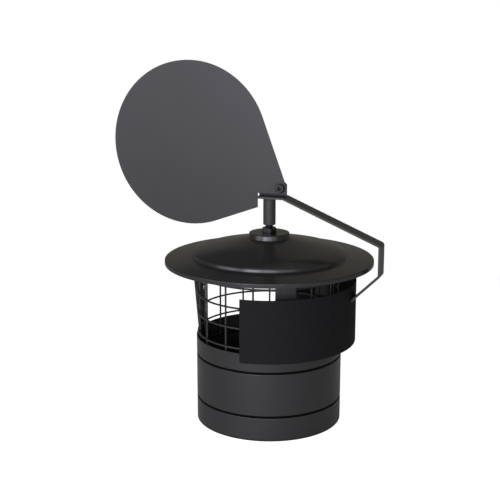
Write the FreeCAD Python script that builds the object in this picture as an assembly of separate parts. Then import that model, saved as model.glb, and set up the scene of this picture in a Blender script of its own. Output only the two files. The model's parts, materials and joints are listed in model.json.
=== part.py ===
import FreeCAD
import Part
import math
import os
from FreeCAD import Vector

# Chimney cap with a wind vane, in black coated sheet steel. Lengths are in millimetres.
# +Z is up and the origin is the centre of the spigot's bottom edge. The hood, its legs and the
# bird guard stand still. The vane, its arm and the wind shield turn together about the Z axis,
# and are drawn with the arm along +X and the vane's blade along -X.

# Spigot: a rolled tube with two pressed grooves
spigot_radius = 75.0
spigot_height = 89.4
spigot_wall = 0.8
lower_groove_rise = 25.0
upper_groove_drop = 18.8
groove_depth = 0.9
groove_width = 2.4
groove_flank = 0.3
groove_bend = 0.2

# Hood: one spun sheet, from its lip in to the boss that takes the pivot bolt
hood_overhang = 31.8
hood_gap = 76.3
hood_wall = 0.8
lip_height = 4.3
lip_bend = 0.3
brim_width = 27.3
brim_rise = 3.2
step_run = 1.0
step_rise = 3.8
step_bend = 1.0
shoulder_run = 8.5
shoulder_rise = 3.4
shoulder_bend = 60.0
dome_rise = 11.0
boss_foot_radius = 21.6
boss_foot_bend = 0.4
boss_top_radius = 20.4
boss_rise = 5.1
boss_top_bend = 0.3

# Bird guard: rings and upright wires, welded where they cross
guard_wire = 1.9
guard_clearance = 0.1
guard_weld = 0.15
guard_upright_count = 15
guard_ring_count = 5
guard_depth = 16.0
guard_foot = 2.0
guard_top = 9.5
guard_lip_gap = 1.2

# Legs: three rolled straps, welded inside the spigot and under the brim
leg_count = 3
leg_first_angle = 60.0
leg_width = 20.0
leg_thickness = 1.5
leg_foot_length = 14.0
leg_rim_gap = 0.4
leg_knee_rise = 3.0
leg_ring_gap = 0.25
leg_lean = 6.75
leg_flange = 12.0
leg_bend = 1.2

# Pivot bolt, its washer and lock nut
pivot_diameter = 8.0
pivot_tip_bend = 2.0
bolt_across_flats = 13.0
bolt_head_height = 5.3
washer_radius = 8.0
washer_thickness = 1.6
lock_nut_height = 5.0
thread_clearance = 0.05
hole_clearance = 0.25

# Sleeve that turns on the pivot bolt
sleeve_diameter = 12.7
sleeve_length = 27.6
sleeve_running_clearance = 0.08
sleeve_edge = 0.8
sleeve_gap = 2.8
tip_clearance = 0.3

# Arm: one folded strip over the sleeve, out past the brim and in to the wind shield
arm_width = 18.0
arm_thickness = 2.1
arm_bend = 1.5
arm_tail = 10.4
arm_level_length = 17.0
arm_brim_gap = 8.6
arm_slope = 22.6
arm_return_slope = 44.5
arm_join_drop = 15.9

# Lug that the blade is screwed to
lug_tail = 11.0
lug_front = 18.0
lug_height = 14.0
lug_thickness = 2.0
lug_corner = 1.8

# Blade: a flat teardrop, a circle with two tangents at a right angle. It is cut off level with
# the lug's front, short of where they meet.
blade_radius = 84.1
blade_thickness = 1.5
blade_tip_angle = 90.0
blade_tilt = 24.7
blade_tip_reach = 21.6
blade_tip_height = 0.1
blade_notch_gap = 2.0
blade_notch_rise = 2.3
blade_notch_bend = 0.6

# Screw, washer and nut that hold the blade to the lug
screw_place = 12.0
screw_rise = 8.4
screw_diameter = 5.0
screw_head_diameter = 8.5
screw_head_height = 4.0
screw_socket = 4.0
screw_socket_depth = 2.2
screw_head_edge = 0.5
screw_end = 1.2
screw_washer_radius = 5.0
screw_washer_thickness = 1.0
screw_nut_across_flats = 8.0
screw_nut_height = 4.0

# Wind shield: half a cylinder outside the legs
shield_leg_gap = 5.7
shield_thickness = 1.2
shield_overlap = 4.0
shield_lip_gap = 16.9
shield_angle = 180.0

up = Vector(0, 0, 1)
along_y = Vector(0, 1, 0)
centre = Vector(0, 0, 0)

# Heights and radii that follow from the sizes above
spigot_bore = spigot_radius - spigot_wall
hood_radius = spigot_radius + hood_overhang
lip_bottom_height = spigot_height + hood_gap
brim_edge_height = lip_bottom_height + lip_height
step_foot_radius = hood_radius - brim_width
step_foot_height = brim_edge_height + brim_rise
step_edge_radius = step_foot_radius - step_run
step_edge_height = step_foot_height + step_rise
shoulder_radius = step_edge_radius - shoulder_run
shoulder_height = step_edge_height + shoulder_rise
boss_foot_height = shoulder_height + dome_rise
boss_height = boss_foot_height + boss_rise
ring_radius = spigot_bore - guard_clearance - guard_wire / 2
upright_radius = ring_radius - guard_wire + guard_weld
guard_bottom_height = spigot_height - guard_depth
guard_rings_height = lip_bottom_height - guard_lip_gap - guard_top - guard_bottom_height
guard_ring_pitch = guard_rings_height / (guard_ring_count - 1)
leg_knee_radius = ring_radius + guard_wire / 2 + leg_ring_gap + leg_thickness
leg_top_radius = leg_knee_radius + leg_lean
shield_radius = leg_top_radius + shield_leg_gap + shield_thickness
shield_bottom_height = spigot_height - shield_overlap
shield_top_height = lip_bottom_height - shield_lip_gap
pivot_radius = pivot_diameter / 2
sleeve_bottom_height = boss_height + lock_nut_height + sleeve_gap
sleeve_top_height = sleeve_bottom_height + sleeve_length
arm_top_height = sleeve_top_height + arm_thickness
arm_reach = hood_radius + arm_brim_gap + arm_thickness
screw_height = arm_top_height + screw_rise


def place(radius, height):
    return Vector(radius, 0, height)


def side_of(direction):
    # To the left of the way of travel, for lines drawn in the XZ plane
    return Vector(-direction.z, 0, direction.x)


def directions(corners):
    return [(after - before).normalize() for before, after in zip(corners, corners[1:])]


def moved_sideways(corners, distance):
    # The same chain of lines at a distance to the left of it
    ways = directions(corners)
    moved = [corners[0] + side_of(ways[0]) * distance]
    for corner, before, after in zip(corners[1:], ways, ways[1:]):
        middle = side_of(before) + side_of(after)
        moved.append(corner + middle * (distance / middle.dot(side_of(after))))
    moved.append(corners[-1] + side_of(ways[-1]) * distance)
    return moved


def rounded_chain(corners, radii):
    # Straight lines with an arc at each inner corner
    edges = []
    start = corners[0]
    ways = directions(corners)
    for corner, before, after, radius in zip(corners[1:], ways, ways[1:], radii):
        half_turn = before.getAngle(after) / 2
        reach = radius * math.tan(half_turn)
        first = corner - before * reach
        last = corner + after * reach
        depth = radius / math.cos(half_turn) - radius
        middle = corner + (after - before).normalize() * depth
        edges.append(Part.makeLine(start, first))
        edges.append(Part.Arc(first, middle, last).toShape())
        start = last
    edges.append(Part.makeLine(start, corners[-1]))
    return edges


def sheet_section(corners, inside_bends, thickness):
    # A folded sheet seen on its edge. The chain is its right face, and each bend is given by
    # the radius on the inside of the fold.
    ways = directions(corners)
    turns_left = [side_of(before).dot(after) > 0 for before, after in zip(ways, ways[1:])]
    right = [bend + thickness * left for bend, left in zip(inside_bends, turns_left)]
    left = [bend + thickness * (not left) for bend, left in zip(inside_bends, turns_left)]
    other_corners = moved_sideways(corners, thickness)
    edges = rounded_chain(corners, right)
    edges += rounded_chain(other_corners, left)
    edges.append(Part.makeLine(corners[0], other_corners[0]))
    edges.append(Part.makeLine(corners[-1], other_corners[-1]))
    return Part.Face(Part.Wire(Part.__sortEdges__(edges)))


def spun(face, angle=360.0):
    return face.revolve(centre, up, angle)


def hexagon(across_flats, height):
    corner_radius = across_flats / math.sqrt(3)
    turns = [math.radians(turn) for turn in range(0, 361, 60)]
    corners = [Vector(math.cos(turn), math.sin(turn), 0) * corner_radius for turn in turns]
    return Part.Face(Part.makePolygon(corners)).extrude(up * height)


def hexagon_head(across_flats, height):
    # A hexagon with its corners turned down to a cone at the top
    flat = across_flats / 2
    corner = across_flats / math.sqrt(3)
    drop = (corner - flat) / math.sqrt(3)
    outline = [
        place(0, 0),
        place(corner, 0),
        place(corner, height - drop),
        place(flat, height),
        place(0, height),
        place(0, 0),
    ]
    turned = spun(Part.Face(Part.makePolygon(outline)))
    return hexagon(across_flats, height).common(turned)


def make_spigot():
    corners = [place(spigot_radius, 0)]
    half_width = groove_width / 2
    half_floor = half_width - groove_flank
    for height in (lower_groove_rise, spigot_height - upper_groove_drop):
        corners.append(place(spigot_radius, height - half_width))
        corners.append(place(spigot_radius - groove_depth, height - half_floor))
        corners.append(place(spigot_radius - groove_depth, height + half_floor))
        corners.append(place(spigot_radius, height + half_width))
    corners.append(place(spigot_radius, spigot_height))
    bends = [groove_bend] * (len(corners) - 2)
    return spun(sheet_section(corners, bends, spigot_wall))


def make_hood():
    corners = [
        place(hood_radius, lip_bottom_height),
        place(hood_radius, brim_edge_height),
        place(step_foot_radius, step_foot_height),
        place(step_edge_radius, step_edge_height),
        place(shoulder_radius, shoulder_height),
        place(boss_foot_radius, boss_foot_height),
        place(boss_top_radius, boss_height),
        place(pivot_radius + hole_clearance, boss_height),
    ]
    bends = [lip_bend, step_bend, step_bend, shoulder_bend, boss_foot_bend, boss_top_bend]
    return spun(sheet_section(corners, bends, hood_wall))


def make_bird_guard():
    upright_length = guard_foot + guard_rings_height + guard_top
    wires = []
    for index in range(guard_upright_count):
        angle = math.radians(leg_first_angle + index * 360 / guard_upright_count)
        foot = Vector(math.cos(angle), math.sin(angle), 0) * upright_radius
        foot.z = guard_bottom_height - guard_foot
        wires.append(Part.makeCylinder(guard_wire / 2, upright_length, foot, up))
    rings = [
        Part.makeTorus(ring_radius, guard_wire / 2, up * (guard_bottom_height + index * guard_ring_pitch))
        for index in range(guard_ring_count)
    ]
    return rings[0].multiFuse(rings[1:] + wires)


def make_leg(angle):
    # The foot lies on the spigot's wall, the strap leans out past the guard, and the flange lies
    # under the brim
    brim_slope = brim_rise / brim_width
    brim_slant = math.sqrt(1 + brim_slope ** 2)
    under_edge = brim_edge_height - (hood_wall + leg_thickness) * brim_slant

    def under_brim(radius):
        return place(radius, under_edge + (hood_radius - radius) * brim_slope)

    corners = [
        place(spigot_bore, spigot_height - leg_foot_length),
        place(spigot_bore, spigot_height + leg_rim_gap),
        place(leg_knee_radius, spigot_height + leg_rim_gap + leg_knee_rise),
        under_brim(leg_top_radius),
        under_brim(leg_top_radius + leg_flange),
    ]
    bends = [leg_bend] * (len(corners) - 2)
    strap = spun(sheet_section(corners, bends, leg_thickness))
    strip = Part.makeBox(hood_radius, leg_width, step_foot_height, along_y * (-leg_width / 2))
    leg = strap.common(strip)
    leg.rotate(centre, up, angle)
    return leg


def make_pivot_bolt():
    # The head hangs under the hood with its corners turned down at the bottom
    bottom_height = boss_height - hood_wall - washer_thickness - bolt_head_height
    head = hexagon_head(bolt_across_flats, bolt_head_height)
    head.rotate(centre, Vector(1, 0, 0), 180)
    head.translate(up * bolt_head_height)
    length = sleeve_top_height - tip_clearance - bottom_height
    shank = Part.makeCylinder(pivot_radius, length)
    tip = [edge for edge in shank.Edges if edge.BoundBox.ZMin > length / 2]
    bolt = head.fuse(shank.makeFillet(pivot_tip_bend, tip)).removeSplitter()
    bolt.translate(up * bottom_height)
    return bolt


def make_pivot_washer():
    bottom = up * (boss_height - hood_wall - washer_thickness)
    hole = Part.makeCylinder(pivot_radius + hole_clearance, washer_thickness, bottom)
    return Part.makeCylinder(washer_radius, washer_thickness, bottom).cut(hole)


def make_lock_nut():
    nut = hexagon_head(bolt_across_flats, lock_nut_height)
    nut = nut.cut(Part.makeCylinder(pivot_radius + thread_clearance, lock_nut_height))
    nut.translate(up * boss_height)
    return nut


def make_pivot_sleeve():
    tube = Part.makeCylinder(sleeve_diameter / 2, sleeve_length)
    bottom = [edge for edge in tube.Edges if edge.BoundBox.ZMax < sleeve_length / 2]
    tube = tube.makeFillet(sleeve_edge, bottom)
    tube = tube.cut(Part.makeCylinder(pivot_radius + sleeve_running_clearance, sleeve_length))
    tube.translate(up * sleeve_bottom_height)
    return tube


def make_vane_arm():
    slope = math.tan(math.radians(arm_slope))
    return_slope = math.tan(math.radians(arm_return_slope))
    join_height = shield_top_height - arm_join_drop
    # The strip is drawn on past the wind shield's face and cut off by it
    drawn_past = arm_width / 2
    corners = [
        place(shield_radius - drawn_past, join_height - drawn_past * return_slope),
        place(arm_reach, join_height + (arm_reach - shield_radius) * return_slope),
        place(arm_reach, arm_top_height - (arm_reach - arm_level_length) * slope),
        place(arm_level_length, arm_top_height),
        place(-arm_tail, arm_top_height),
    ]
    bends = [arm_bend] * (len(corners) - 2)
    section = sheet_section(corners, bends, arm_thickness)
    section.translate(along_y * (-arm_width / 2))
    strip = section.extrude(along_y * arm_width)
    shield_height = shield_top_height - shield_bottom_height
    return strip.cut(Part.makeCylinder(shield_radius, shield_height, up * shield_bottom_height))


def make_vane_lug():
    length = lug_tail + lug_front
    plate = Part.makeBox(length, lug_thickness, lug_height, place(-lug_tail, arm_top_height))
    top_height = arm_top_height + lug_height
    corners = [
        edge for edge in plate.Edges
        if edge.BoundBox.ZMin > top_height - lug_corner and edge.BoundBox.YLength > lug_thickness / 2
    ]
    plate = plate.makeChamfer(lug_corner, corners)
    return plate.cut(screw_hole())


def screw_hole():
    # It runs out past the blade's and the lug's far faces
    depth = blade_thickness + lug_thickness
    start = Vector(screw_place, -depth, screw_height)
    return Part.makeCylinder((screw_diameter + hole_clearance) / 2, 2 * depth, start, along_y)


def make_vane_blade():
    tip = place(blade_tip_reach, arm_top_height + blade_tip_height)
    half_angle = math.radians(blade_tip_angle / 2)
    tilt = math.radians(blade_tilt)
    back = place(-math.cos(tilt), math.sin(tilt))
    middle = tip + back * (blade_radius / math.sin(half_angle))

    def on_circle(turn):
        return middle + place(math.cos(turn), math.sin(turn)) * blade_radius

    tip_way = math.atan2(-back.z, -back.x)
    upper = on_circle(tip_way + math.pi / 2 - half_angle)
    lower = on_circle(tip_way - math.pi / 2 + half_angle)
    round_end = Part.Arc(upper, middle + back * blade_radius, lower).toShape()
    outline = Part.Wire([Part.makeLine(tip, upper), round_end, Part.makeLine(lower, tip)])
    blade = Part.Face(outline).extrude(along_y * -blade_thickness)

    # The notch clears the end of the arm
    cut_start = Vector(lug_front, -2 * blade_thickness, arm_top_height - blade_radius)
    tip_cut = Part.makeBox(blade_radius, 3 * blade_thickness, 2 * blade_radius, cut_start)
    notch_side = arm_tail + blade_notch_gap
    notch_top = arm_top_height + blade_notch_rise
    notch_start = Vector(-notch_side, -2 * blade_thickness, notch_top - blade_radius)
    notch = Part.makeBox(notch_side + blade_radius, 3 * blade_thickness, blade_radius, notch_start)
    corner = [
        edge for edge in notch.Edges
        if edge.BoundBox.XMax < -notch_side + blade_notch_bend
        and edge.BoundBox.ZMin > notch_top - blade_notch_bend
        and edge.BoundBox.YLength > blade_thickness
    ]
    return blade.cut(tip_cut).cut(notch.makeFillet(blade_notch_bend, corner)).cut(screw_hole())


def laid_along_y(shape, start):
    # Turns a shape made along +Z so that it runs along +Y from the screw's place
    shape.rotate(centre, Vector(1, 0, 0), -90)
    shape.translate(Vector(screw_place, start, screw_height))
    return shape


def make_blade_screw():
    head = Part.makeCylinder(screw_head_diameter / 2, screw_head_height)
    rim = [edge for edge in head.Edges if edge.BoundBox.ZMax < screw_head_height / 2]
    head = head.makeFillet(screw_head_edge, rim)
    head = head.cut(hexagon(screw_socket, screw_socket_depth))
    grip = blade_thickness + lug_thickness + screw_washer_thickness + screw_nut_height
    shank = Part.makeCylinder(screw_diameter / 2, grip + screw_end, up * screw_head_height)
    return laid_along_y(head.fuse(shank), -blade_thickness - screw_head_height)


def make_blade_washer():
    washer = Part.makeCylinder(screw_washer_radius, screw_washer_thickness)
    hole = Part.makeCylinder((screw_diameter + hole_clearance) / 2, screw_washer_thickness)
    return laid_along_y(washer.cut(hole), lug_thickness)


def make_blade_nut():
    nut = hexagon_head(screw_nut_across_flats, screw_nut_height)
    nut = nut.cut(Part.makeCylinder(screw_diameter / 2 + thread_clearance, screw_nut_height))
    return laid_along_y(nut, lug_thickness + screw_washer_thickness)


def make_wind_shield():
    edges = [place(shield_radius, height) for height in (shield_bottom_height, shield_top_height)]
    shield = spun(sheet_section(edges, [], shield_thickness), shield_angle)
    shield.rotate(centre, up, -shield_angle / 2)
    return shield


pieces = {
    "spigot": make_spigot(),
    "bird_guard": make_bird_guard(),
    "hood": make_hood(),
    "pivot_bolt": make_pivot_bolt(),
    "pivot_washer": make_pivot_washer(),
    "lock_nut": make_lock_nut(),
    "pivot_sleeve": make_pivot_sleeve(),
    "vane_arm": make_vane_arm(),
    "vane_lug": make_vane_lug(),
    "vane_blade": make_vane_blade(),
    "blade_screw": make_blade_screw(),
    "blade_washer": make_blade_washer(),
    "blade_nut": make_blade_nut(),
    "wind_shield": make_wind_shield(),
}
for index in range(leg_count):
    pieces["leg_" + str(index + 1)] = make_leg(leg_first_angle + index * 360 / leg_count)

os.makedirs("parts", exist_ok=True)
for name, shape in pieces.items():
    shape.exportStep("parts/" + name + ".step")
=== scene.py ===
import json
import math

import bmesh
import bpy
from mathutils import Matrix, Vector


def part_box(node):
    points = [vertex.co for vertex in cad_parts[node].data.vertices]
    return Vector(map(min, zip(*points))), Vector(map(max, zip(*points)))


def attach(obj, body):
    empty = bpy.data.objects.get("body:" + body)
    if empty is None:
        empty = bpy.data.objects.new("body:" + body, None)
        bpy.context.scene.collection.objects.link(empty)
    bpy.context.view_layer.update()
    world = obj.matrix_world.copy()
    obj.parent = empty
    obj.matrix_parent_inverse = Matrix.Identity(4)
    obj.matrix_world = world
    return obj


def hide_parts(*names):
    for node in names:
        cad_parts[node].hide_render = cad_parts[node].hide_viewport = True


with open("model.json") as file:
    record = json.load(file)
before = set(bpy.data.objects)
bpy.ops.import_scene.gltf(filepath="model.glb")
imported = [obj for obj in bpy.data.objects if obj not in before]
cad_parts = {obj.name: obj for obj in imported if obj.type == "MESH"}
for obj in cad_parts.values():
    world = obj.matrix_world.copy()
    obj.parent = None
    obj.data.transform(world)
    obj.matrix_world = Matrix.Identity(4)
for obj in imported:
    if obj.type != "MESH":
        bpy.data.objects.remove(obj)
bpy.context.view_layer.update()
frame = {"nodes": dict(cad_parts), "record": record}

nodes = frame["nodes"]
mm = 0.001  # the record and the CAD nodes are in metres


# Nodes and colours

def hexColour(code):
    channels = []
    for start in (1, 3, 5):
        value = int(code[start:start + 2], 16) / 255
        channels.append(value / 12.92 if value <= 0.04045 else ((value + 0.055) / 1.055) ** 2.4)
    return (*channels, 1.0)


def addNode(tree, kind, settings=None, inputs=None, links=None):
    node = tree.nodes.new(kind)
    for name, value in (settings or {}).items():
        setattr(node, name, value)
    for name, value in (inputs or {}).items():
        node.inputs[name].default_value = value
    for name, source in (links or {}).items():
        tree.links.new(source, node.inputs[name])
    return node


# Powder coat: a satin black coat, sprayed as dust and baked. Up close it has the fine waves of
# orange peel and a few specks, and from a step away a soft, slightly uneven sheen. Its colour and
# sheen are darkened in narrow corners as painted shade.

coatLook = {
    "peelWidth": 1.6,         # mm from wave to wave, drawn about twice as coarse as it is
    "peelDepth": 0.02,        # mm
    "peelStrength": 0.6,
    "speckSpacing": 3.0,      # mm between specks
    "speckCore": 0.05,        # the speck's full middle and its rim, as shares of the spacing
    "speckRim": 0.09,
    "speckAmount": 0.35,
    "speckLight": 2.2,        # how many times lighter than the coat a speck is
    "cloudWidth": 45.0,       # mm, the slow change of film thickness
    "cloudAmount": 0.06,      # how far it changes the colour, and then the roughness
    "sheenSpread": 0.03,
    "cornerReach": 3.0,       # mm, how near other faces must be for the painted shade in corners
    "cornerDark": 0.25,       # what is left of the colour and sheen under that painted shade
    "cornerFrom": 0.35,       # the open shares between which the painted shade goes from deepest to none
    "cornerTo": 0.95,
    "ringDepth": 0.01,        # mm, the spinning roller's rings
    "ringStrength": 0.3,
}
waveSpacing = 0.314   # metres between a wave texture's rings at scale 1


def clouded(tree, place, colour):
    # The colour, lighter and darker with the film's thickness, with a few lighter specks
    clouds = addNode(
        tree, "ShaderNodeTexNoise", inputs={"Scale": 1 / (coatLook["cloudWidth"] * mm), "Detail": 3.0},
        links={"Vector": place},
    )
    base = hexColour(colour)[:3]
    dark = [channel * (1 - coatLook["cloudAmount"]) for channel in base]
    light = [channel * (1 + coatLook["cloudAmount"]) for channel in base]
    shade = addNode(tree, "ShaderNodeMix", {"data_type": "RGBA"}, links={0: clouds.outputs["Fac"]})
    shade.inputs[6].default_value = (*dark, 1)
    shade.inputs[7].default_value = (*light, 1)
    specks = addNode(
        tree, "ShaderNodeTexVoronoi", inputs={"Scale": 1 / (coatLook["speckSpacing"] * mm)},
        links={"Vector": place},
    )
    speckMask = addNode(
        tree, "ShaderNodeMapRange",
        inputs={
            "From Min": coatLook["speckCore"], "From Max": coatLook["speckRim"],
            "To Min": coatLook["speckAmount"], "To Max": 0.0,
        },
        links={"Value": specks.outputs["Distance"]},
    )
    speckled = addNode(tree, "ShaderNodeMix", {"data_type": "RGBA"}, links={0: speckMask.outputs["Result"]})
    tree.links.new(shade.outputs[2], speckled.inputs[6])
    lit = [min(1, channel * coatLook["speckLight"]) for channel in base]
    speckled.inputs[7].default_value = (*lit, 1)
    return speckled.outputs[2], clouds.outputs["Fac"]


def paintedShadeShare(tree, place, grooves):
    # A painted shade factor for colour and sheen: 1 on open faces, less in narrow corners and least in the
    # pressed grooves
    near = addNode(
        tree, "ShaderNodeAmbientOcclusion", {"samples": 8},
        inputs={"Distance": coatLook["cornerReach"] * mm},
    )
    share = addNode(
        tree, "ShaderNodeMapRange",
        inputs={
            "From Min": coatLook["cornerFrom"], "From Max": coatLook["cornerTo"],
            "To Min": coatLook["cornerDark"], "To Max": 1.0,
        },
        links={"Value": near.outputs["AO"]},
    ).outputs["Result"]
    if grooves:
        # Painted shade in the grooves, deepest on their floor
        parts = addNode(tree, "ShaderNodeSeparateXYZ", links={0: place})
        flat = addNode(
            tree, "ShaderNodeVectorMath", {"operation": "MULTIPLY"}, inputs={1: (1, 1, 0)}, links={0: place},
        )
        radius = addNode(
            tree, "ShaderNodeVectorMath", {"operation": "LENGTH"}, links={0: flat.outputs[0]},
        ).outputs["Value"]
        grooveShade = addNode(
            tree, "ShaderNodeMapRange",
            inputs={
                "From Min": grooves["floorRadius"] * mm, "From Max": grooves["wallRadius"] * mm,
                "To Min": grooves["floorShare"], "To Max": 1.0,
            },
            links={"Value": radius},
        ).outputs["Result"]
        for height in grooves["heights"]:
            level = addNode(
                tree, "ShaderNodeMath", {"operation": "COMPARE"},
                inputs={1: height * mm, 2: grooves["halfWidth"] * mm}, links={0: parts.outputs["Z"]},
            )
            here = addNode(tree, "ShaderNodeMix", {"data_type": "FLOAT"}, inputs={2: 1.0}, links={
                0: level.outputs[0], 3: grooveShade,
            })
            share = addNode(tree, "ShaderNodeMath", {"operation": "MULTIPLY"}, links={
                0: share, 1: here.outputs[0],
            }).outputs[0]
    return share


def powderCoat(name, colour, roughness, specular=0.5, ringSpacing=0.0, grooves=None):
    material = bpy.data.materials.new(name)
    material.use_nodes = True
    tree = material.node_tree
    shader = tree.nodes["Principled BSDF"]
    place = addNode(tree, "ShaderNodeTexCoord").outputs["Object"]
    tint, film = clouded(tree, place, colour)
    share = paintedShadeShare(tree, place, grooves)
    # Painted shade: the factor darkens the coat's colour here and its sheen below
    shadedTint = addNode(
        tree, "ShaderNodeMix", {"data_type": "RGBA", "blend_type": "MULTIPLY"}, inputs={0: 1.0},
        links={6: tint, 7: share},
    )
    tree.links.new(shadedTint.outputs[2], shader.inputs["Base Color"])
    gloss = addNode(
        tree, "ShaderNodeMath", {"operation": "MULTIPLY"}, inputs={1: specular}, links={0: share},
    )
    tree.links.new(gloss.outputs[0], shader.inputs["Specular IOR Level"])
    sheen = addNode(
        tree, "ShaderNodeMapRange",
        inputs={
            "From Min": 0.3, "From Max": 0.7,   # nearly all of a noise lies between these
            "To Min": roughness - coatLook["sheenSpread"], "To Max": roughness + coatLook["sheenSpread"],
        },
        links={"Value": film},
    )
    tree.links.new(sheen.outputs["Result"], shader.inputs["Roughness"])
    peel = addNode(
        tree, "ShaderNodeTexNoise", inputs={"Scale": 1 / (coatLook["peelWidth"] * mm), "Detail": 2.0},
        links={"Vector": place},
    )
    height = addNode(
        tree, "ShaderNodeBump",
        inputs={"Distance": coatLook["peelDepth"] * mm, "Strength": coatLook["peelStrength"]},
        links={"Height": peel.outputs["Fac"]},
    )
    if ringSpacing:
        # Faint rings that the spinning roller leaves in the sheet under the coat
        rings = addNode(
            tree, "ShaderNodeTexWave",
            {"wave_type": "RINGS", "rings_direction": "Z", "wave_profile": "SIN"},
            inputs={"Scale": waveSpacing / (ringSpacing * mm), "Distortion": 0.1, "Detail": 1.0},
            links={"Vector": place},
        )
        height = addNode(
            tree, "ShaderNodeBump",
            inputs={"Distance": coatLook["ringDepth"] * mm, "Strength": coatLook["ringStrength"]},
            links={"Height": rings.outputs["Fac"], "Normal": height.outputs["Normal"]},
        )
    tree.links.new(height.outputs["Normal"], shader.inputs["Normal"])
    return material


# The spigot's two pressed grooves, in mm, where the colour and sheen are painted nearly black as shade
grooves = {
    "heights": (25.0, 70.6), "halfWidth": 1.3,
    "floorRadius": 74.5, "wallRadius": 74.95, "floorShare": 0.12,
}

coats = {
    # The hood's coat is the glossiest: long highlights on the boss and step, and faint spun rings
    "coated_sheet": powderCoat("satinPowderCoatHood", "#2C2C2C", 0.23, specular=0.5, ringSpacing=1.8),
    # A thin coat on the guard's wires, which glint along their rounds
    "coated_wire": powderCoat("satinPowderCoatWire", "#343434", 0.32, specular=0.4),
    # An even satin on the flat straps, the arm and their welds
    "coated_strap": powderCoat("satinPowderCoatStrap", "#2E2E2E", 0.3),
    # The blade, lug and sleeve read as a soft dark grey with hardly a highlight
    "coated_vane": powderCoat("mattPowderCoatVane", "#3D3D3D", 0.32, specular=0.3),
    # The wind shield is the darkest and dullest, almost without a sheen
    "coated_shield": powderCoat("mattPowderCoatShield", "#1E1E1F", 0.6, specular=0.07),
    # Blacked steel: near black, with small sharp glints on its flats
    "coated_hardware": powderCoat("blackedSteelHardware", "#151515", 0.25),
}
# The spigot has the hood's slot and its own coat, a little lighter, without rings, and with painted shade in
# its grooves
tubeCoat = powderCoat("satinPowderCoatTube", "#303030", 0.3, specular=0.42, grooves=grooves)
for part in frame["record"]["subparts"]:
    node = nodes[part["node"]]
    coat = tubeCoat if part["node"] == "spigot" else coats[part["material_slot"]]
    node.data.materials.clear()
    node.data.materials.append(coat)
print("coats are on the CAD nodes")


# Geometry Nodes: a graph is built with named inputs, run once and kept as a plain mesh

def startGraph(name, floats=(), integers=()):
    tree = bpy.data.node_groups.new(name, "GeometryNodeTree")
    tree.interface.new_socket("Geometry", in_out="INPUT", socket_type="NodeSocketGeometry")
    tree.interface.new_socket("Geometry", in_out="OUTPUT", socket_type="NodeSocketGeometry")
    for label in floats:
        tree.interface.new_socket(label, in_out="INPUT", socket_type="NodeSocketFloat")
    for label in integers:
        tree.interface.new_socket(label, in_out="INPUT", socket_type="NodeSocketInt")
    return tree, addNode(tree, "NodeGroupInput").outputs


def endGraph(tree, geometry, material):
    real = addNode(tree, "GeometryNodeRealizeInstances", links={"Geometry": geometry})
    smooth = addNode(tree, "GeometryNodeSetShadeSmooth", links={"Geometry": real.outputs[0]})
    coated = addNode(
        tree, "GeometryNodeSetMaterial", inputs={"Material": material}, links={"Geometry": smooth.outputs[0]},
    )
    addNode(tree, "NodeGroupOutput", links={"Geometry": coated.outputs[0]})


def growPiece(name, tree, values, host=None):
    # host is a curve or mesh that the graph starts from
    source = bpy.data.objects.new(name + "Source", host or bpy.data.meshes.new(name + "Host"))
    bpy.context.scene.collection.objects.link(source)
    modifier = source.modifiers.new("grow", "NODES")
    modifier.node_group = tree
    for item in tree.interface.items_tree:
        if item.in_out == "INPUT" and item.name in values:
            modifier[item.identifier] = values[item.name]
    shape = bpy.data.meshes.new_from_object(source.evaluated_get(bpy.context.evaluated_depsgraph_get()))
    bpy.data.objects.remove(source)
    shape.name = name
    piece = bpy.data.objects.new(name, shape)
    bpy.context.scene.collection.objects.link(piece)
    return piece


def keepPiece(piece, body):
    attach(piece, body)


# Bird guard welds: where a wire crosses a ring, the two have sunk together and left a small nugget.
# The first two lines are the guard's own sizes, in mm and degrees.

guardWelds = {
    "wire": 1.9, "uprights": 15, "rings": 5, "firstAngle": 60.0,
    "foot": 2.0, "top": 9.5, "sunk": 0.15,   # what the uprights stick out, and how far they sank
    "width": 2.7, "depth": 1.9, "unevenness": 0.15, "seed": 4,
}


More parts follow.
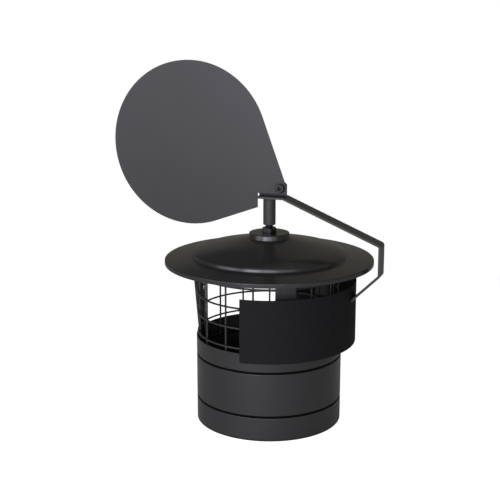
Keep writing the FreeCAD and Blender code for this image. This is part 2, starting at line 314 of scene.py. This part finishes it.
def makeGuardWelds():
    low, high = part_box("bird_guard")
    ringRadius = high.x - guardWelds["wire"] / 2 * mm
    firstRing = low.z + guardWelds["foot"] * mm
    pitch = (high.z - guardWelds["top"] * mm - firstRing) / (guardWelds["rings"] - 1)
    tree, given = startGraph(
        "guardWeldGraph", ("Radius", "First height", "Pitch", "First angle", "Width", "Depth", "Unevenness"),
        ("Rings", "Uprights", "Seed"),
    )
    start = addNode(tree, "ShaderNodeCombineXYZ", links={"Z": given["First height"]})
    step = addNode(tree, "ShaderNodeCombineXYZ", links={"Z": given["Pitch"]})
    levels = addNode(tree, "GeometryNodeMeshLine", links={
        "Count": given["Rings"], "Start Location": start.outputs[0], "Offset": step.outputs[0],
    })
    around = addNode(tree, "GeometryNodeMeshCircle", links={
        "Vertices": given["Uprights"], "Radius": given["Radius"],
    })
    turn = addNode(tree, "ShaderNodeCombineXYZ", links={"Z": given["First angle"]})
    turned = addNode(tree, "GeometryNodeTransform", links={
        "Geometry": around.outputs[0], "Rotation": turn.outputs[0],
    })
    crossings = addNode(tree, "GeometryNodeInstanceOnPoints", links={
        "Points": levels.outputs[0], "Instance": turned.outputs[0],
    })
    points = addNode(tree, "GeometryNodeRealizeInstances", links={"Geometry": crossings.outputs[0]})
    place = addNode(tree, "GeometryNodeInputPosition")
    outwards = addNode(tree, "ShaderNodeVectorMath", {"operation": "MULTIPLY"}, inputs={1: (1, 1, 0)}, links={
        0: place.outputs[0],
    })
    facing = addNode(tree, "FunctionNodeAlignRotationToVector", {"axis": "X"}, links={
        "Vector": outwards.outputs[0],
    })
    size = addNode(tree, "ShaderNodeCombineXYZ", links={
        "X": given["Depth"], "Y": given["Width"], "Z": given["Width"],
    })
    least = addNode(tree, "ShaderNodeMath", {"operation": "SUBTRACT"}, inputs={0: 1.0}, links={
        1: given["Unevenness"],
    })
    uneven = addNode(tree, "FunctionNodeRandomValue", {"data_type": "FLOAT"}, inputs={3: 1.0}, links={
        2: least.outputs[0], "Seed": given["Seed"],
    })
    scaled = addNode(tree, "ShaderNodeVectorMath", {"operation": "SCALE"}, links={
        0: size.outputs[0], "Scale": uneven.outputs[1],
    })
    nugget = addNode(tree, "GeometryNodeMeshIcoSphere", inputs={"Radius": 0.5, "Subdivisions": 2})
    welds = addNode(tree, "GeometryNodeInstanceOnPoints", links={
        "Points": points.outputs[0], "Instance": nugget.outputs[0], "Rotation": facing.outputs[0],
        "Scale": scaled.outputs[0],
    })
    endGraph(tree, welds.outputs[0], coats["coated_wire"])
    contact = ringRadius - (guardWelds["wire"] - guardWelds["sunk"]) / 2 * mm
    piece = growPiece("guard_welds", tree, {
        "Radius": contact, "First height": firstRing, "Pitch": pitch,
        "First angle": math.radians(guardWelds["firstAngle"]),
        "Width": guardWelds["width"] * mm, "Depth": guardWelds["depth"] * mm,
        "Unevenness": guardWelds["unevenness"], "Rings": guardWelds["rings"],
        "Uprights": guardWelds["uprights"], "Seed": guardWelds["seed"],
    })
    keepPiece(piece, "cap")


# Pivot bolt: the CAD's plain bolt with its thread cut, from its head to near its end

pivotBolt = {
    "diameter": 8.0, "pitch": 1.25, "threadDepth": 0.6,   # mm
    "ridgeShare": 0.46,                                   # half of a ridge's foot, as a share of the pitch
    "acrossFlats": 13.0, "headHeight": 5.3,               # mm
    "headEdge": 0.97,                                     # how far out the head's flat bottom reaches
    "tipLength": 2.0, "tipBevel": 0.6, "tipShare": 0.72,  # mm, mm, and the end's share of the core
    "pointsPerTurn": 40, "pointsPerSide": 8,
    "merge": 0.001,                                       # mm, points nearer than this are one
}


def makePivotBolt():
    low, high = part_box("pivot_bolt")
    radius = pivotBolt["diameter"] / 2 * mm
    core = radius - pivotBolt["threadDepth"] * mm
    headTop = low.z + pivotBolt["headHeight"] * mm
    threadTop = high.z - pivotBolt["tipLength"] * mm
    length = threadTop - headTop
    tree, given = startGraph(
        "pivotThreadGraph", ("Core radius", "Ridge depth", "Ridge height", "Length", "Turns", "Foot height"),
        ("Points per turn",),
    )
    helix = addNode(tree, "GeometryNodeCurveSpiral", links={
        "Resolution": given["Points per turn"], "Rotations": given["Turns"],
        "Start Radius": given["Core radius"], "End Radius": given["Core radius"], "Height": given["Length"],
    })
    upright = addNode(tree, "GeometryNodeSetCurveNormal", {"mode": "Z_UP"}, links={"Curve": helix.outputs[0]})
    # A circle of four points is a diamond: its outer corner is the crest, its inner one is in the core
    diamond = addNode(tree, "GeometryNodeCurvePrimitiveCircle", {"mode": "RADIUS"}, inputs={
        "Resolution": 4, "Radius": 1.0,
    })
    stretch = addNode(tree, "ShaderNodeCombineXYZ", inputs={"Z": 1.0}, links={
        "X": given["Ridge depth"], "Y": given["Ridge height"],
    })
    ridge = addNode(tree, "GeometryNodeTransform", links={
        "Geometry": diamond.outputs[0], "Scale": stretch.outputs[0],
    })
    thread = addNode(tree, "GeometryNodeCurveToMesh", inputs={"Fill Caps": True}, links={
        "Curve": upright.outputs[0], "Profile Curve": ridge.outputs[0],
    })
    middle = addNode(tree, "ShaderNodeMath", {"operation": "MULTIPLY"}, inputs={1: 0.5}, links={
        0: given["Length"],
    })
    centre = addNode(tree, "ShaderNodeCombineXYZ", links={"Z": middle.outputs[0]})
    shank = addNode(tree, "GeometryNodeMeshCylinder", links={
        "Vertices": given["Points per turn"], "Radius": given["Core radius"], "Depth": given["Length"],
    })
    lifted = addNode(tree, "GeometryNodeTransform", links={
        "Geometry": shank.outputs[0], "Translation": centre.outputs[0],
    })
    joined = addNode(tree, "GeometryNodeJoinGeometry")
    for part in (lifted, thread):
        tree.links.new(part.outputs[0], joined.inputs[0])
    foot = addNode(tree, "ShaderNodeCombineXYZ", links={"Z": given["Foot height"]})
    placed = addNode(tree, "GeometryNodeTransform", links={
        "Geometry": joined.outputs[0], "Translation": foot.outputs[0],
    })
    endGraph(tree, placed.outputs[0], coats["coated_hardware"])
    piece = growPiece("threaded_pivot_bolt", tree, {
        "Core radius": core, "Ridge depth": radius - core,
        "Ridge height": pivotBolt["pitch"] * pivotBolt["ridgeShare"] * mm,
        "Length": length, "Turns": length / (pivotBolt["pitch"] * mm), "Foot height": headTop,
        "Points per turn": pivotBolt["pointsPerTurn"],
    })
    addBoltEnds(piece.data, low.z, headTop, threadTop, high.z, core)
    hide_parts("pivot_bolt")
    keepPiece(piece, "cap")


def addBoltEnds(shape, bottom, headTop, tipBottom, tipTop, core):
    # The hexagon head, its corners turned down at the bottom, and the bolt's coned end
    made = bmesh.new()
    made.from_mesh(shape)
    corner = pivotBolt["acrossFlats"] / math.sqrt(3) * mm
    flat = pivotBolt["acrossFlats"] / 2 * mm
    drop = (corner - flat) / math.sqrt(3)
    headPoints = 6 * pivotBolt["pointsPerSide"]
    edge = pivotBolt["headEdge"]
    head = []
    for height, share in ((bottom, 0), (bottom, edge), (bottom + drop, 1), (headTop, 1), (headTop, 0)):
        ring = []
        for index in range(headPoints):
            turn = 2 * math.pi * index / headPoints
            # How far the hexagon's side is at this turn
            side = flat / math.cos((turn % (math.pi / 3)) - math.pi / 6)
            reach = min(side, flat) if height == bottom else side
            # The turned cone meets the flats in shallow arcs
            level = bottom + max(0.0, side - flat) / math.sqrt(3) if height == bottom + drop else height
            ring.append(made.verts.new((
                math.sin(turn) * reach * share, math.cos(turn) * reach * share, level,
            )))
        head.append(ring)
    joinRings(made, head)
    bevel = tipTop - pivotBolt["tipBevel"] * mm
    end = core * pivotBolt["tipShare"]
    tipPoints = pivotBolt["pointsPerTurn"]
    tip = []
    for height, radius in ((tipBottom, core), (bevel, core), (tipTop, end), (tipTop, 0)):
        ring = []
        for index in range(tipPoints):
            turn = 2 * math.pi * index / tipPoints
            ring.append(made.verts.new((math.sin(turn) * radius, math.cos(turn) * radius, height)))
        tip.append(ring)
    joinRings(made, tip)
    bmesh.ops.remove_doubles(made, verts=made.verts[:], dist=pivotBolt["merge"] * mm)
    bmesh.ops.recalc_face_normals(made, faces=made.faces[:])
    made.to_mesh(shape)
    made.free()


def joinRings(made, rings):
    for lower, upper in zip(rings, rings[1:]):
        for index in range(len(lower)):
            after = (index + 1) % len(lower)
            made.faces.new((lower[index], lower[after], upper[after], upper[index]))


# Weld beads: overlapping drops along a line, as a hand-held torch leaves them, in mm and degrees

beads = {
    "pitch": 1.1, "dropLength": 2.4, "dropThickness": 1.5, "unevenness": 0.2,
    "lowerJoin": 0.3, "upperJoin": 3.1,   # above the arm's lowest point, its two faces at the shield
    "sideMargin": 1.0, "sleeveTurn": 345.0,   # short of the arm's sides, and how far round the sleeve
}


def beadGraph(material):
    tree, given = startGraph("weldBeadGraph", ("Pitch", "Drop length", "Thickness", "Unevenness"), ("Seed",))
    spaced = addNode(tree, "GeometryNodeCurveToPoints", {"mode": "LENGTH"}, links={
        "Curve": given["Geometry"], "Length": given["Pitch"],
    })
    least = addNode(tree, "ShaderNodeMath", {"operation": "SUBTRACT"}, inputs={0: 1.0}, links={
        1: given["Unevenness"],
    })
    uneven = addNode(tree, "FunctionNodeRandomValue", {"data_type": "FLOAT"}, inputs={3: 1.0}, links={
        2: least.outputs[0], "Seed": given["Seed"],
    })
    size = addNode(tree, "ShaderNodeCombineXYZ", links={
        "X": given["Thickness"], "Y": given["Thickness"], "Z": given["Drop length"],
    })
    scaled = addNode(tree, "ShaderNodeVectorMath", {"operation": "SCALE"}, links={
        0: size.outputs[0], "Scale": uneven.outputs[1],
    })
    drop = addNode(tree, "GeometryNodeMeshIcoSphere", inputs={"Radius": 0.5, "Subdivisions": 2})
    laid = addNode(tree, "GeometryNodeInstanceOnPoints", links={
        "Points": spaced.outputs["Points"], "Instance": drop.outputs[0],
        "Rotation": spaced.outputs["Rotation"], "Scale": scaled.outputs[0],
    })
    endGraph(tree, laid.outputs[0], material)
    return tree


def pathCurve(name, points):
    curve = bpy.data.curves.new(name, "CURVE")
    curve.dimensions = "3D"
    spline = curve.splines.new("POLY")
    spline.points.add(len(points) - 1)
    for point, place in zip(spline.points, points):
        point.co = (*place, 1)
    return curve


def arcPoints(radius, height, first, last, steps=24):
    turns = [math.radians(first + (last - first) * index / steps) for index in range(steps + 1)]
    return [(math.cos(turn) * radius, math.sin(turn) * radius, height) for turn in turns]


def makeWelds():
    tree = beadGraph(coats["coated_strap"])
    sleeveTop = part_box("pivot_sleeve")[1]
    armLow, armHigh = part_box("vane_arm")
    lugLow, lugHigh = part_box("vane_lug")
    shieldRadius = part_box("wind_shield")[1].x
    margin = beads["sideMargin"] * mm
    spread = math.degrees(math.asin((armHigh.y - margin) / shieldRadius))
    upper = armLow.z + beads["upperJoin"] * mm
    lower = armLow.z + beads["lowerJoin"] * mm
    # Each weld's line and the seed of its unevenness
    lines = {
        "sleeve_weld": (arcPoints(sleeveTop.x, sleeveTop.z, 0, beads["sleeveTurn"]), 11),
        "lug_weld": ([(end, lugHigh.y, lugLow.z) for end in (lugLow.x + margin, lugHigh.x - margin)], 12),
        "shield_weld_upper": (arcPoints(shieldRadius, upper, -spread, spread), 13),
        "shield_weld_lower": (arcPoints(shieldRadius, lower, -spread, spread), 14),
    }
    for name, (points, seed) in lines.items():
        piece = growPiece(name, tree, {
            "Pitch": beads["pitch"] * mm, "Drop length": beads["dropLength"] * mm,
            "Thickness": beads["dropThickness"] * mm, "Unevenness": beads["unevenness"], "Seed": seed,
        }, host=pathCurve(name, points))
        keepPiece(piece, "vane")


# Spot welds: low nuggets on the legs' feet inside the spigot and on their flanges under the brim,
# in mm and degrees

spotWelds = {
    "legs": 3, "firstAngle": 60.0, "diameter": 4.2, "height": 0.4, "apart": 10.0,
    "footRadius": 72.7, "footHeight": 81.0,
    "flangeRadius": 89.0, "flangeDrop": 2.2, "brimSlope": 0.117,   # flangeDrop is from the leg's top
}


def makeSpotWelds():
    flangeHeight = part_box("leg_1")[1].z / mm - spotWelds["flangeDrop"]
    made = bmesh.new()
    for leg in range(spotWelds["legs"]):
        legTurn = math.radians(spotWelds["firstAngle"] + leg * 360 / spotWelds["legs"])
        for side in (-1, 1):
            for radius, height, slope in (
                (spotWelds["footRadius"], spotWelds["footHeight"], None),
                (spotWelds["flangeRadius"], flangeHeight, spotWelds["brimSlope"]),
            ):
                turn = legTurn + side * math.asin(spotWelds["apart"] / 2 / radius)
                out = Vector((math.cos(turn), math.sin(turn), 0))
                along = Vector((-math.sin(turn), math.cos(turn), 0))
                way = -out if slope is None else (Vector((0, 0, -1)) - out * slope).normalized()
                middle = (out * radius + Vector((0, 0, height))) * mm
                # One small face carries each spot's place and the way it points
                across = way.cross(along).normalized()
                corners = [
                    middle + (along * first + across * second) * mm
                    for first, second in ((-1, -1), (1, -1), (1, 1), (-1, 1))
                ]
                face = made.faces.new([made.verts.new(corner) for corner in corners])
                face.normal_update()
                if face.normal.dot(way) < 0:
                    face.normal_flip()
    carrier = bpy.data.meshes.new("spotPlaces")
    made.to_mesh(carrier)
    made.free()

    tree, given = startGraph("spotWeldGraph", ("Diameter", "Height"))
    spots = addNode(tree, "GeometryNodeCaptureAttribute", {"domain": "FACE"}, links={
        "Geometry": given["Geometry"],
    })
    spots.capture_items.new("VECTOR", "Way")
    tree.links.new(addNode(tree, "GeometryNodeInputNormal").outputs[0], spots.inputs["Way"])
    points = addNode(tree, "GeometryNodeMeshToPoints", {"mode": "FACES"}, links={
        "Mesh": spots.outputs["Geometry"],
    })
    facing = addNode(tree, "FunctionNodeAlignRotationToVector", {"axis": "Z"}, links={
        "Vector": spots.outputs["Way"],
    })
    size = addNode(tree, "ShaderNodeCombineXYZ", links={
        "X": given["Diameter"], "Y": given["Diameter"], "Z": given["Height"],
    })
    dome = addNode(tree, "GeometryNodeMeshUVSphere", inputs={"Radius": 0.5, "Segments": 20, "Rings": 8})
    laid = addNode(tree, "GeometryNodeInstanceOnPoints", links={
        "Points": points.outputs[0], "Instance": dome.outputs[0], "Rotation": facing.outputs[0],
        "Scale": size.outputs[0],
    })
    endGraph(tree, laid.outputs[0], coats["coated_strap"])
    piece = growPiece("spot_welds", tree, {
        "Diameter": spotWelds["diameter"] * mm, "Height": spotWelds["height"] * mm,
    }, host=carrier)
    keepPiece(piece, "cap")


# Seam of the spigot: the rolled sheet's two edges, butt welded, with a low bead on the far side,
# in mm and degrees

seam = {
    "angle": 110.0, "width": 1.6, "height": 0.5, "end": 1.0, "pointCount": 160,
    "standoff": 1.0, "reach": 5.0,   # where its line starts outside the tube, and how far it looks in
}


def makeSeam():
    low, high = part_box("spigot")
    tree, given = startGraph("seamGraph", ("Reach", "Width", "Height"), ("Point count",))
    tree.interface.new_socket("Tube", in_out="INPUT", socket_type="NodeSocketObject")
    points = addNode(tree, "GeometryNodeResampleCurve", links={
        "Curve": given["Geometry"], "Count": given["Point count"],
    })
    surface = addNode(tree, "GeometryNodeObjectInfo", links={"Object": given["Tube"]})
    place = addNode(tree, "GeometryNodeInputPosition")
    inwards = addNode(
        tree, "ShaderNodeVectorMath", {"operation": "MULTIPLY"}, inputs={1: (-1, -1, 0)},
        links={0: place.outputs[0]},
    )
    ray = addNode(tree, "GeometryNodeRaycast", links={
        "Target Geometry": surface.outputs["Geometry"], "Ray Direction": inwards.outputs[0],
        "Ray Length": given["Reach"],
    })
    laid = addNode(tree, "GeometryNodeSetPosition", links={
        "Geometry": points.outputs[0], "Position": ray.outputs["Hit Position"],
    })
    upright = addNode(tree, "GeometryNodeSetCurveNormal", {"mode": "MINIMUM_TWIST"}, links={
        "Curve": laid.outputs[0],
    })
    outline = addNode(tree, "GeometryNodeCurvePrimitiveCircle", {"mode": "RADIUS"}, inputs={
        "Resolution": 10, "Radius": 0.5,
    })
    size = addNode(tree, "ShaderNodeCombineXYZ", inputs={"Z": 1.0}, links={
        "X": given["Height"], "Y": given["Width"],
    })
    flat = addNode(tree, "GeometryNodeTransform", links={
        "Geometry": outline.outputs[0], "Scale": size.outputs[0],
    })
    bead = addNode(tree, "GeometryNodeCurveToMesh", inputs={"Fill Caps": True}, links={
        "Curve": upright.outputs[0], "Profile Curve": flat.outputs[0],
    })
    endGraph(tree, bead.outputs[0], tubeCoat)
    piece = growPiece("spigot_seam", tree, {
        "Reach": seam["reach"] * mm, "Width": seam["width"] * mm, "Height": seam["height"] * mm,
        "Point count": seam["pointCount"], "Tube": nodes["spigot"],
    }, host=pathCurve("seamLine", seamLine(low, high)))
    keepPiece(piece, "cap")


def seamLine(low, high):
    # A straight line just outside the tube, which the graph lays on its wall
    turn = math.radians(seam["angle"])
    out = Vector((math.cos(turn), math.sin(turn), 0)) * (high.x + seam["standoff"] * mm)
    end = seam["end"] * mm
    return [out + Vector((0, 0, low.z + end)), out + Vector((0, 0, high.z - end))]


makeGuardWelds()
makePivotBolt()
makeWelds()
makeSpotWelds()
makeSeam()
print("welds and thread are on")


# Camera: read off the photograph's ellipses and edges, in degrees and metres, with its lens in mm

camera = {
    "azimuth": 19.6,
    "elevation": 13.21,
    "distance": 1.094,
    "sideways": -0.0197,
    "aimHeight": 0.1776,
    "lens": 77.03,
    "sensor": 36.0,
}


# Studio: a white floor and backdrop, a row of low soft lamps from the left to the right of the
# camera, the strongest at the front left, and a dim room above

studio = {
    "floorSize": 12.0, "lampDistance": 2.2, "lampAim": 0.18,   # metres
    # Each lamp's azimuth from the camera's, elevation, side and watts. The rear lamp fills the far
    # side's shadow and doesn't show in the coat's sheen, and the left sheen lamp shows only there.
    "lamps": {
        "leftLamp": (-50.0, 8.0, 0.85, 3.2),
        "leftSheenLamp": (-64.0, 13.0, 1.2, 9.0),
        "keyLamp": (-25.0, 8.0, 0.85, 20.0),
        "frontLamp": (0.0, 8.0, 0.85, 11.4),
        "rightLamp": (25.0, 8.0, 0.85, 3.4),
        "topLamp": (0.0, 85.0, 1.2, 3.6),
        "rearLamp": (180.0, 6.0, 1.2, 28.0),
    },
    "roomLow": 0.16, "roomHigh": 0.13,        # the room's light at the horizon and overhead
    "horizonTop": 0.1, "overheadFrom": 0.7,   # how high, from 0 to 1, each of them reaches
    "lampColour": "#F2F2FF", "roomColour": "#FFF8E6",   # cool lamps in a warm room
    "sheenShare": 0.02,                       # how much of the white backdrop the coat's sheen sees
    "paperColour": "#F2F2F2", "paperRoughness": 0.9,
    # A painted glow on the floor, standing in for the lamps' pool of light: its side, strength and narrowness
    "paintedGlowSide": -22.0, "paintedGlowStrength": 0.22, "paintedGlowNarrowness": 6.0,
    # How much of the real paper and its shadow the camera sees near the foot, where that starts and
    # ends in metres, and the glow that makes up for the paper's greyness
    "shadowShare": 0.3, "shadowNear": 0.2, "shadowFar": 0.7, "floorGlow": 1.4,
}


def towards(azimuth, elevation):
    turn = math.radians(azimuth)
    rise = math.radians(elevation)
    return Vector((math.sin(turn) * math.cos(rise), -math.cos(turn) * math.cos(rise), math.sin(rise)))


def addLamp(name, side, power, azimuth, elevation):
    lamp = bpy.data.lights.new(name, "AREA")
    lamp.shape = "SQUARE"
    lamp.size = side
    lamp.energy = power
    lamp.color = hexColour(studio["lampColour"])[:3]
    holder = bpy.data.objects.new(name, lamp)
    bpy.context.scene.collection.objects.link(holder)
    way = towards(azimuth, elevation)
    holder.location = Vector((0, 0, studio["lampAim"])) + way * studio["lampDistance"]
    holder.rotation_euler = way.to_track_quat("Z", "Y").to_euler()
    return holder


def seenShare(tree):
    # 1 where the camera or glass looks, and a share of it where a sheen does
    rays = addNode(tree, "ShaderNodeLightPath")
    clear = addNode(
        tree, "ShaderNodeMath", {"operation": "MAXIMUM"},
        links={0: rays.outputs["Is Camera Ray"], 1: rays.outputs["Is Transmission Ray"]},
    )
    return addNode(
        tree, "ShaderNodeMath", {"operation": "MULTIPLY_ADD", "use_clamp": True},
        inputs={1: studio["sheenShare"]},
        links={0: rays.outputs["Is Glossy Ray"], 2: clear.outputs[0]},
    ).outputs[0]


def whitePaper():
    paper = bpy.data.materials.new("whitePaperFloor")
    paper.use_nodes = True
    tree = paper.node_tree
    shader = tree.nodes["Principled BSDF"]
    shader.inputs["Base Color"].default_value = hexColour(studio["paperColour"])
    shader.inputs["Roughness"].default_value = studio["paperRoughness"]
    shader.inputs["Specular IOR Level"].default_value = 0.0
    place = addNode(tree, "ShaderNodeTexCoord").outputs["Object"]
    # Painted light: the floor glows, brightest on the lamps' side, as a pool of light that shows in the
    # coat's sheen
    side = towards(camera["azimuth"] + studio["paintedGlowSide"], 0)
    way = addNode(tree, "ShaderNodeVectorMath", {"operation": "NORMALIZE"}, links={0: place})
    facing = addNode(
        tree, "ShaderNodeVectorMath", {"operation": "DOT_PRODUCT"}, inputs={1: side},
        links={0: way.outputs[0]},
    )
    forward = addNode(
        tree, "ShaderNodeMath", {"operation": "MAXIMUM"}, inputs={1: 0.0},
        links={0: facing.outputs["Value"]},
    )
    spread = addNode(
        tree, "ShaderNodeMath", {"operation": "POWER"}, inputs={1: studio["paintedGlowNarrowness"]},
        links={0: forward.outputs[0]},
    )
    lit = addNode(
        tree, "ShaderNodeMath", {"operation": "MULTIPLY"}, inputs={1: studio["paintedGlowStrength"]},
        links={0: spread.outputs[0]},
    )
    # The painted glow is the paper's own emission
    shader.inputs["Emission Color"].default_value = (1, 1, 1, 1)
    tree.links.new(lit.outputs[0], shader.inputs["Emission Strength"])
    # The floor is seen as white, less a share of the shadow round the object's foot
    white = addNode(tree, "ShaderNodeEmission", inputs={"Color": (1, 1, 1, 1)})
    distance = addNode(tree, "ShaderNodeVectorMath", {"operation": "LENGTH"}, links={0: place})
    near = addNode(
        tree, "ShaderNodeMapRange", {"interpolation_type": "SMOOTHSTEP"},
        inputs={
            "From Min": studio["shadowNear"], "From Max": studio["shadowFar"],
            "To Min": studio["shadowShare"], "To Max": 0.0,
        },
        links={"Value": distance.outputs["Value"]},
    )
    glow = addNode(
        tree, "ShaderNodeMapRange",
        inputs={
            "From Min": 0.0, "From Max": studio["shadowShare"], "To Min": 1.0, "To Max": studio["floorGlow"],
        },
        links={"Value": near.outputs["Result"]},
    )
    tree.links.new(glow.outputs["Result"], white.inputs["Strength"])
    paperPart = addNode(tree, "ShaderNodeMixShader", links={
        0: near.outputs["Result"], 1: white.outputs["Emission"], 2: shader.outputs["BSDF"],
    })
    mix = addNode(tree, "ShaderNodeMixShader", links={
        0: seenShare(tree), 1: shader.outputs["BSDF"], 2: paperPart.outputs[0],
    })
    tree.links.new(mix.outputs[0], tree.nodes["Material Output"].inputs["Surface"])
    return paper


def makeFloor():
    mesh = bpy.data.meshes.new("floor")
    half = studio["floorSize"] / 2
    corners = [(-half, -half, 0), (half, -half, 0), (half, half, 0), (-half, half, 0)]
    mesh.from_pydata(corners, [], [(0, 1, 2, 3)])
    floor = bpy.data.objects.new("floor", mesh)
    bpy.context.scene.collection.objects.link(floor)
    floor.data.materials.append(whitePaper())
    return floor


def makeRoom():
    world = bpy.data.worlds.new("studioRoom")
    bpy.context.scene.world = world
    world.use_nodes = True
    tree = world.node_tree
    room = tree.nodes["Background"]
    sky = addNode(tree, "ShaderNodeTexCoord").outputs["Generated"]
    way = addNode(tree, "ShaderNodeSeparateXYZ", links={0: sky})
    level = addNode(
        tree, "ShaderNodeMapRange", {"interpolation_type": "SMOOTHSTEP"},
        inputs={
            "From Min": studio["horizonTop"], "From Max": studio["overheadFrom"],
            "To Min": studio["roomLow"], "To Max": studio["roomHigh"],
        },
        links={"Value": way.outputs["Z"]},
    )
    tree.links.new(level.outputs["Result"], room.inputs["Strength"])
    room.inputs["Color"].default_value = hexColour(studio["roomColour"])
    backdrop = addNode(tree, "ShaderNodeBackground", inputs={"Color": (1, 1, 1, 1), "Strength": 1.0})
    mix = addNode(tree, "ShaderNodeMixShader", links={
        0: seenShare(tree), 1: room.outputs[0], 2: backdrop.outputs[0],
    })
    tree.links.new(mix.outputs[0], tree.nodes["World Output"].inputs["Surface"])


def makeLamps(floor):
    for name, (azimuth, elevation, side, power) in studio["lamps"].items():
        lamp = addLamp(name, side, power, camera["azimuth"] + azimuth, elevation)
        lamp.visible_camera = False
        lamp.visible_diffuse = name != "leftSheenLamp"
        if name == "rearLamp":
            # It lights the object's far side and not the floor, whose sheen would show on the near side
            lamp.visible_glossy = False
            unlit = bpy.data.collections.new("unlitByRearLamp")
            unlit.objects.link(floor)
            unlit.collection_objects[0].light_linking.link_state = "EXCLUDE"
            lamp.light_linking.receiver_collection = unlit


def makeCamera():
    data = bpy.data.cameras.new("photoCamera")
    data.lens = camera["lens"]
    data.sensor_width = camera["sensor"]
    holder = bpy.data.objects.new("photoCamera", data)
    bpy.context.scene.collection.objects.link(holder)
    turn = math.radians(camera["azimuth"])
    aim = Vector((math.cos(turn), math.sin(turn), 0)) * camera["sideways"]
    aim.z = camera["aimHeight"]
    way = towards(camera["azimuth"], camera["elevation"])
    holder.location = aim + way * camera["distance"]
    holder.rotation_euler = way.to_track_quat("Z", "Y").to_euler()
    bpy.context.scene.camera = holder


floor = makeFloor()
makeRoom()
makeLamps(floor)
makeCamera()
bpy.context.scene.view_settings.view_transform = "Standard"
print("studio and camera are set")
